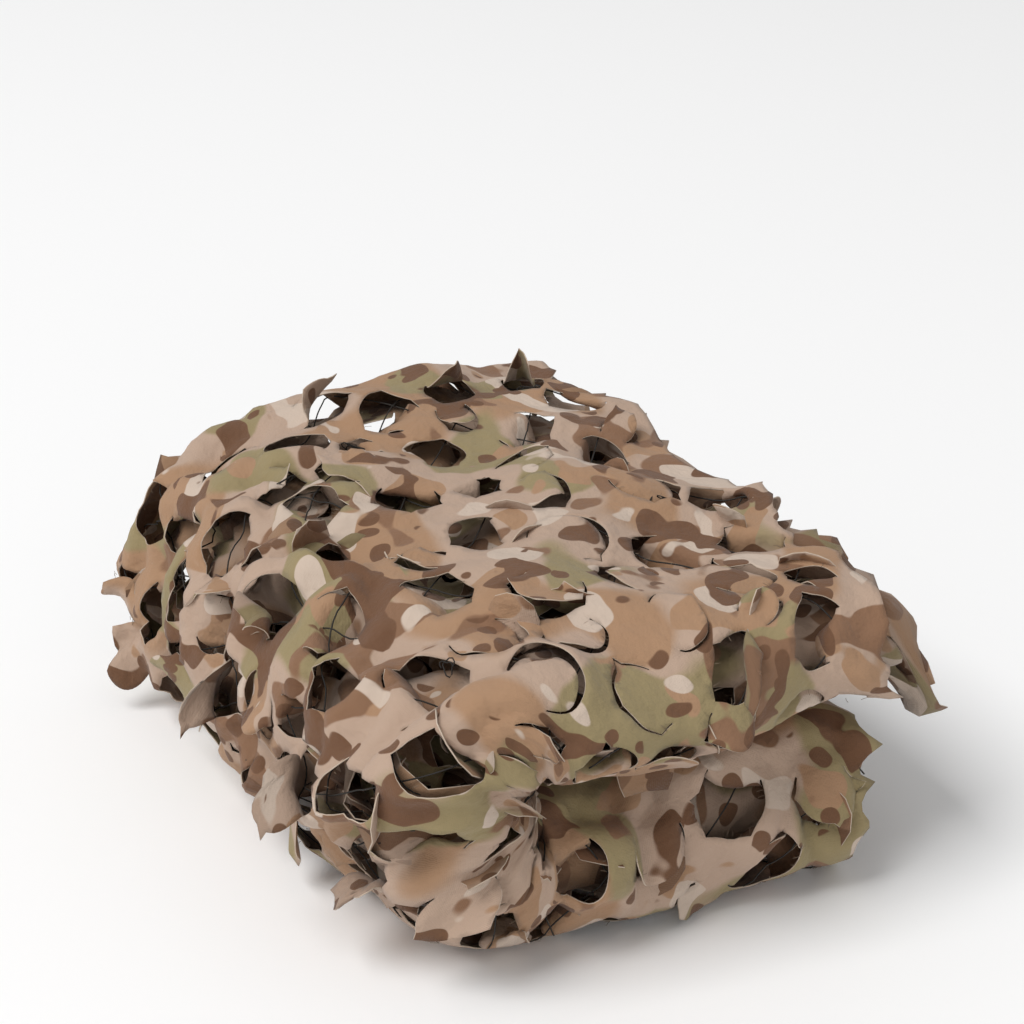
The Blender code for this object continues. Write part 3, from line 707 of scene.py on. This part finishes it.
def cloth_object():
    """The cut and folded cloth, as a thin sheet with its flat coordinates on it."""
    cuts = outer_cuts() + [cut._replace(along=OUTER_FROM + cut.along) for cut in FINE_CUTS]
    cuts = more_cuts(made_clear(cuts), OUTER_FROM + 0.026, OUTER_TO - 0.02, EXTRA_ROOM,
                     EXTRA_TRIES, seed=11)
    fine_cuts = len(cuts)
    cuts = more_cuts(cuts, 0.03, OUTER_FROM - 0.03, HIDDEN_ROOM, HIDDEN_TRIES // 4, seed=12)
    cuts = more_cuts(cuts, OUTER_TO + 0.03, ALONG - 0.03, HIDDEN_ROOM, HIDDEN_TRIES, seed=13)
    given, gaps, leaf_of = cloth_points(cuts, fine_cuts)
    made, _, faces, sources, _, in_gaps = delaunay_2d_cdt(
        [Vector(point) for point in given], [], gaps, 0, 1e-7
    )
    flat = np.array(made)
    leaf = np.array([leaf_of[source[0]] if source else IN_CLOTH for source in sources])
    points = folded(flat, puckers(cuts, flat, leaf))
    for number, cut in enumerate(cuts):
        mine = np.flatnonzero(leaf == number)
        points[mine] = on_leaf(cut, curl_of(cut, number), flat[mine])
    data = bpy.data.meshes.new("netting_cloth")
    kept = [face for face, gap in zip(faces, in_gaps)
            if not gap and any(leaf[point] != ON_END for point in face)]
    data.from_pydata([tuple(point) for point in points], [], kept)
    place = data.attributes.new("flat", "FLOAT_VECTOR", "POINT")
    place.data.foreach_set("vector", np.column_stack([flat, np.zeros(len(flat))]).ravel())
    data.shade_smooth()
    cloth = add_object("netting_cloth", data)
    thickness = cloth.modifiers.new("thickness", "SOLIDIFY")
    thickness.thickness = SHEET
    thickness.offset = -1
    thickness.material_offset = 1
    thickness.material_offset_rim = 2
    return cloth, cuts[:fine_cuts]


def add_object(name, data):
    """Puts a mesh in the scene as an object."""
    obj = bpy.data.objects.new(name, data)
    bpy.context.scene.collection.objects.link(obj)
    return obj


# ---------------------------------------------------------------------------
# String and threads
# ---------------------------------------------------------------------------

STRING = 0.0011  # diameter
STRING_PITCH = 0.055  # between strings that run the same way
STRING_SLANTS = (math.radians(33), math.radians(-41))
STRING_DEPTH, STRING_SWAY = 0.0045, 0.0015  # under the cloth, and how much that varies
STRING_DRIFT = 0.004  # how far a string strays sideways
STRING_STEP = 0.006  # between its points
TIE_SEED, TIES = 5, 12
THREAD = 0.00035  # diameter
THREAD_SEED, THREADS = 23, 500
THREAD_POINTS = 5


def tube(path, radius, sides, points, faces):
    """Adds a tube along a path to a mesh's points and faces."""
    path = np.asarray(path)
    ahead = np.gradient(path, axis=0)
    ahead /= np.linalg.norm(ahead, axis=1, keepdims=True) + 1e-12
    guide = np.where(np.abs(ahead[:, 2:]) < 0.9, [[0.0, 0.0, 1.0]], [[1.0, 0.0, 0.0]])
    across = np.cross(ahead, guide)
    across /= np.linalg.norm(across, axis=1, keepdims=True)
    up = np.cross(across, ahead)
    start = len(points)
    for turn in np.linspace(0, 2 * math.pi, sides, endpoint=False):
        ring = path + radius * (math.cos(turn) * across + math.sin(turn) * up)
        points.extend(ring)
    n = len(path)
    for side in range(sides):
        a, b = start + side * n, start + (side + 1) % sides * n
        faces.extend([(a + i, b + i, b + i + 1, a + i + 1) for i in range(n - 1)])
    faces.append([start + side * n for side in reversed(range(sides))])
    faces.append([start + side * n + n - 1 for side in range(sides)])


def mesh_object(name, points, faces):
    """An object made of points and faces, shaded smooth."""
    data = bpy.data.meshes.new(name)
    data.from_pydata([tuple(point) for point in points], [], faces)
    data.shade_smooth()
    return add_object(name, data)


def under_cloth(flat, depth):
    """Points at a depth under the cloth."""
    points = folded(flat, -depth)
    points[:, 2] = np.maximum(points[:, 2], 0.0015)
    return points


def string_net():
    """The slanting strings of the backing net, under the cloth that shows."""
    points, faces = [], []
    low, high = np.array([OUTER_FROM - 0.02, 0.006]), np.array([OUTER_TO - 0.004, DOWN - 0.006])
    centre = (low + high) / 2
    span = np.linalg.norm(high - low) / 2
    for way, slant in enumerate(STRING_SLANTS):
        forward = np.array([math.cos(slant), math.sin(slant)])
        sideways = np.array([-math.sin(slant), math.cos(slant)])
        for number, offset in enumerate(np.arange(-span, span, STRING_PITCH)):
            run = np.arange(-span, span, STRING_STEP)
            drift = STRING_DRIFT * np.sin(run * 21 + number * 1.7 + way)
            flat = centre + run[:, None] * forward + (offset + drift)[:, None] * sideways
            flat = flat[((flat > low) & (flat < high)).all(axis=1)]
            if len(flat) < 4:
                continue
            sway = STRING_SWAY * (1 + np.sin(flat[:, 0] * 83 + number * 2.9))
            tube(under_cloth(flat, STRING_DEPTH + sway), STRING / 2, 5, points, faces)
    return mesh_object("backing_strings", points, faces)


def ties(cuts):
    """Small loops of string, knotted to the cloth at the rims of some cuts."""
    rng = np.random.default_rng(TIE_SEED)
    points, faces = [], []
    for number in rng.permutation(len(cuts))[:TIES]:
        cut = cuts[number]
        rim = middle(cut) + leaf_ways(cut)[0] * half_length(cut) * rng.uniform(0.4, 0.9)
        here = smooth_cloth(*rim)
        out = outward(rim[None])[0]
        side = step_along(rim[None], (math.cos(cut.down * 90), math.sin(cut.down * 90)))[0]
        side /= np.linalg.norm(side)
        other = np.cross(out, side)
        turn = np.linspace(0, 2 * math.pi * 1.6, 28)
        start = rng.uniform(0, 2 * math.pi)
        size = rng.uniform(0.004, 0.007) * (1 + 0.4 * np.cos(1.3 * turn + start))
        size = size * (1 + 0.25 * np.sin(3.1 * turn + 2 * start))
        loop = here - out * 0.004 + size[:, None] * (
            np.cos(turn)[:, None] * side + np.sin(turn)[:, None] * (0.6 * out + 0.5 * other))
        loop[:, 2] = np.maximum(loop[:, 2], 0.002)
        tube(loop, STRING * 0.42, 5, points, faces)
    return mesh_object("ties", points, faces)


def loose_threads(cuts):
    """Short frayed threads that stand out of the cuts' edges."""
    rng = np.random.default_rng(THREAD_SEED)
    part = np.linspace(0, 1, THREAD_POINTS)
    points, faces = [], []
    for _ in range(THREADS):
        number = int(rng.integers(len(cuts)))
        cut = cuts[number]
        rim = scalloped(arc(cut, number, FINE_ARC, np.zeros_like))
        i = int(rng.integers(2, FINE_ARC - 2))
        start = rim[i][None]
        inward = (middle(cut) - start[0]) / np.linalg.norm(middle(cut) - start[0])
        length, bend = rng.uniform(0.002, 0.006), rng.uniform(-0.5, 0.5)
        way = inward + (bend * part)[:, None] * np.array([-inward[1], inward[0]])
        flat = start + way * (length * part)[:, None]
        path = folded(start) + smooth_cloth(*flat.T) - smooth_cloth(*start.T)
        path = path + outward(flat) * (rng.uniform(-0.001, 0.002) * part)[:, None]
        path[:, 2] = np.maximum(path[:, 2], 0.001)
        tube(path, THREAD / 2, 3, points, faces)
    return mesh_object("loose_threads", points, faces)


# ---------------------------------------------------------------------------
# Materials
# ---------------------------------------------------------------------------

SAND = (0.455, 0.325, 0.244)
PALE = (0.570, 0.460, 0.375)
TAN = (0.370, 0.218, 0.124)
MIDDLE = (0.225, 0.118, 0.064)
BROWN = (0.140, 0.064, 0.030)
OLIVE = (0.285, 0.225, 0.112)
# The back's greyish colour, made much darker as painted shade for the insides of the cuts and the
# leaves' undersides.
BACK_AND_SHADE = (0.110, 0.070, 0.046)
STRING_COLOUR = (0.018, 0.014, 0.010)
THREAD_COLOUR = (0.26, 0.19, 0.13)


class Nodes:
    """Builds a material's nodes with few words."""

    def __init__(self, name):
        self.material = bpy.data.materials.new(name)
        self.material.use_nodes = True
        self.tree = self.material.node_tree
        self.shader = self.tree.nodes["Principled BSDF"]

    def add(self, kind, **inputs):
        """A node with the inputs given by socket name, as values or as other sockets."""
        node = self.tree.nodes.new("ShaderNode" + kind)
        for name, value in inputs.items():
            self.plug(node.inputs[name.replace("_", " ")], value)
        return node

    def plug(self, socket, value):
        """Links or sets a socket."""
        if isinstance(value, bpy.types.NodeSocket):
            self.tree.links.new(value, socket)
        else:
            socket.default_value = value

    def math(self, operation, a, b=0.0, clamp=False):
        node = self.tree.nodes.new("ShaderNodeMath")
        node.operation = operation
        node.use_clamp = clamp
        self.plug(node.inputs[0], a)
        self.plug(node.inputs[1], b)
        return node.outputs[0]

    def vector(self, operation, a, b):
        node = self.tree.nodes.new("ShaderNodeVectorMath")
        node.operation = operation
        self.plug(node.inputs[0], a)
        self.plug(node.inputs[1], b)
        return node.outputs[0]

    def noise(self, place, scale, shift=0.0, detail=1.0, rough=0.45, distortion=0.0):
        """Noise over a place; features are about 1 / scale in size."""
        moved = self.vector("ADD", place, (shift, 1.7 * shift, 0.6 * shift))
        node = self.add("TexNoise", Vector=moved, Scale=scale, Detail=detail,
                        Roughness=rough, Distortion=distortion)
        return node.outputs["Fac"]

    def above(self, value, edge, softness):
        """0 where a value is under an edge and 1 where it is over, over a soft width."""
        node = self.tree.nodes.new("ShaderNodeMapRange")
        node.interpolation_type = "SMOOTHSTEP"
        self.plug(node.inputs["Value"], value)
        node.inputs["From Min"].default_value = edge - softness / 2
        node.inputs["From Max"].default_value = edge + softness / 2
        return node.outputs["Result"]

    def mix(self, factor, a, b):
        """One colour over another."""
        node = self.tree.nodes.new("ShaderNodeMix")
        node.data_type = "RGBA"
        factor_in, *colours_in = [socket for socket in node.inputs if socket.enabled]
        self.plug(factor_in, factor)
        for socket, value in zip(colours_in, (a, b)):
            self.plug(socket, (*value, 1.0) if isinstance(value, tuple) else value)
        return next(socket for socket in node.outputs if socket.enabled)


def print_colour(nodes, place):
    """The blotched print: soft shades under crisp rounded blotches."""
    warp = nodes.add("TexNoise", Vector=place, Scale=34.0, Detail=1.0)
    shift = nodes.vector("SUBTRACT", warp.outputs["Color"], (0.5, 0.5, 0.5))
    place = nodes.vector("ADD", place, nodes.vector("MULTIPLY", shift, (0.012, 0.012, 0.0)))
    colour = nodes.mix(nodes.above(nodes.noise(place, 9.0, 0.0), 0.56, 0.05), SAND, TAN)
    colour = nodes.mix(nodes.above(nodes.noise(place, 9.5, 3.0), 0.55, 0.03), colour, OLIVE)
    colour = nodes.mix(nodes.above(nodes.noise(place, 20.0, 6.0), 0.615, 0.012), colour, TAN)
    colour = nodes.mix(nodes.above(nodes.noise(place, 22.0, 18.0), 0.615, 0.02), colour, MIDDLE)
    colour = nodes.mix(nodes.above(nodes.noise(place, 23.0, 9.0), 0.64, 0.012), colour, PALE)
    colour = nodes.mix(nodes.above(nodes.noise(place, 25.0, 12.0), 0.61, 0.012), colour, BROWN)
    pebbles = nodes.add("TexVoronoi", Vector=place, Scale=42.0)
    chosen = nodes.above(nodes.noise(place, 12.0, 15.0), 0.545, 0.01)
    pebble = nodes.math("MULTIPLY", nodes.above(pebbles.outputs["Distance"], 0.30, -0.03), chosen)
    return nodes.mix(pebble, colour, BROWN)


def weave_bump(nodes, place, strength):
    """Fine crossing threads and small soft unevenness, as a bump."""
    split = nodes.add("SeparateXYZ", Vector=place)
    threads = 2 * math.pi / 0.0009
    warp = nodes.math("SINE", nodes.math("MULTIPLY", split.outputs["X"], threads))
    weft = nodes.math("SINE", nodes.math("MULTIPLY", split.outputs["Y"], threads))
    weave = nodes.math("MULTIPLY", nodes.math("ADD", warp, weft), 0.00004)
    creases = nodes.math("MULTIPLY", nodes.noise(place, 60.0, 21.0, detail=4.0, rough=0.55), 0.0035)
    bump = nodes.add("Bump", Height=nodes.math("ADD", weave, creases), Strength=strength,
                     Distance=1.0)
    return bump.outputs["Normal"]


def cloth_material(name, colour_of, weave_strength):
    """A dull woven cloth in the colour that a function of its flat place gives."""
    nodes = Nodes(name)
    attribute = nodes.tree.nodes.new("ShaderNodeAttribute")
    attribute.attribute_name = "flat"
    place = attribute.outputs["Vector"]
    nodes.plug(nodes.shader.inputs["Base Color"], colour_of(nodes, place))
    nodes.plug(nodes.shader.inputs["Normal"], weave_bump(nodes, place, weave_strength))
    nodes.shader.inputs["Roughness"].default_value = 0.82
    nodes.shader.inputs["Specular IOR Level"].default_value = 0.25
    nodes.shader.inputs["Sheen Weight"].default_value = 0.12
    nodes.shader.inputs["Sheen Roughness"].default_value = 0.5
    return nodes.material


def front_colour(nodes, place):
    """The print with a faint fade."""
    fade = nodes.noise(place, 55.0, 30.0, detail=3.0)
    colour = print_colour(nodes, place)
    return nodes.mix(nodes.math("MULTIPLY", fade, 0.09), colour, SAND)


def back_and_shade_colour(nodes, place):
    """The greyish back, through which the print shows a little, made much darker with painted shade
    that stands in for the shade inside the cuts.
    """
    return nodes.mix(0.32, print_colour(nodes, place), BACK_AND_SHADE)


def edge_colour(nodes, place):
    """Pale raw edges, uneven from place to place."""
    return nodes.mix(nodes.noise(place, 140.0, 2.0), (0.62, 0.52, 0.42), (0.40, 0.30, 0.22))


def plain_material(name, colour, roughness):
    """A dull material whose colour is uneven."""
    nodes = Nodes(name)
    place = nodes.tree.nodes.new("ShaderNodeTexCoord").outputs["Object"]
    darker = tuple(0.55 * value for value in colour)
    nodes.plug(nodes.shader.inputs["Base Color"],
               nodes.mix(nodes.noise(place, 220.0, 1.0, detail=2.0), darker, colour))
    nodes.shader.inputs["Roughness"].default_value = roughness
    return nodes.material


# ---------------------------------------------------------------------------
# The stage
# ---------------------------------------------------------------------------

CAMERA_AZIMUTH, CAMERA_ELEVATION = math.radians(61.76), math.radians(25.80)
CAMERA_DISTANCE = 1.531
CAMERA_TARGET = Vector((-0.0105, 0.0150, 0.1916))
CAMERA_LENS = 79.0


def round_the_target(azimuth, elevation, distance):
    """A place in the round: azimuth 0 is at -Y and 90 at +X."""
    return CAMERA_TARGET + distance * Vector((
        math.sin(azimuth) * math.cos(elevation),
        -math.cos(azimuth) * math.cos(elevation),
        math.sin(elevation),
    ))


def aim(obj):
    """Turns a lamp or camera to the target."""
    obj.rotation_euler = (CAMERA_TARGET - obj.location).to_track_quat("-Z", "Y").to_euler()


def make_camera():
    camera = bpy.data.objects.new("camera", bpy.data.cameras.new("camera"))
    bpy.context.scene.collection.objects.link(camera)
    camera.data.lens = CAMERA_LENS
    camera.location = round_the_target(CAMERA_AZIMUTH, CAMERA_ELEVATION, CAMERA_DISTANCE)
    aim(camera)
    bpy.context.scene.camera = camera


Lamp = namedtuple("Lamp", "name azimuth elevation distance size power")
LAMPS = (
    Lamp(name="key", azimuth=0, elevation=57, distance=11.0, size=6.0, power=850),
    Lamp(name="fill", azimuth=80, elevation=6, distance=3.4, size=1.8, power=14),
)


def make_lamps():
    for lamp in LAMPS:
        light = bpy.data.lights.new(lamp.name, "AREA")
        light.energy, light.size = lamp.power, lamp.size
        obj = bpy.data.objects.new(lamp.name, light)
        bpy.context.scene.collection.objects.link(obj)
        azimuth, elevation = math.radians(lamp.azimuth), math.radians(lamp.elevation)
        obj.location = round_the_target(azimuth, elevation, lamp.distance)
        aim(obj)
    world = bpy.data.worlds.new("studio")
    world.use_nodes = True
    world.node_tree.nodes["Background"].inputs["Color"].default_value = (1.0, 1.0, 1.0, 1.0)
    world.node_tree.nodes["Background"].inputs["Strength"].default_value = 0.48
    bpy.context.scene.world = world


def make_floor():
    size = 12.0
    corners = [(x * size, y * size, -0.0004) for x, y in ((-1, -1), (1, -1), (1, 1), (-1, 1))]
    data = bpy.data.meshes.new("floor")
    data.from_pydata(corners, [], [(0, 1, 2, 3)])
    floor = add_object("floor", data)
    nodes = Nodes("floor")
    nodes.shader.inputs["Base Color"].default_value = (0.96, 0.96, 0.96, 1.0)
    nodes.shader.inputs["Roughness"].default_value = 0.9
    data.materials.append(nodes.material)


# ---------------------------------------------------------------------------
# Everything together
# ---------------------------------------------------------------------------

def main():
    make_camera()
    make_lamps()
    make_floor()
    bpy.context.scene.view_settings.view_transform = "Standard"

    cloth, cuts = cloth_object()
    cloth.data.materials.append(cloth_material("cloth_front", front_colour, 1.0))
    # The back faces carry painted shade, darker than the back's own colour.
    cloth.data.materials.append(cloth_material("cloth_back_and_shade", back_and_shade_colour, 1.0))
    cloth.data.materials.append(cloth_material("cloth_edge", edge_colour, 0.2))
    strings = string_net()
    strings.data.materials.append(plain_material("string", STRING_COLOUR, 0.7))
    loops = ties(cuts)
    loops.data.materials.append(strings.data.materials[0])
    threads = loose_threads(cuts)
    threads.data.materials.append(plain_material("thread", THREAD_COLOUR, 0.8))

    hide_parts("netting")
    for piece in (cloth, strings, loops, threads):
        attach(piece, "root")


main()
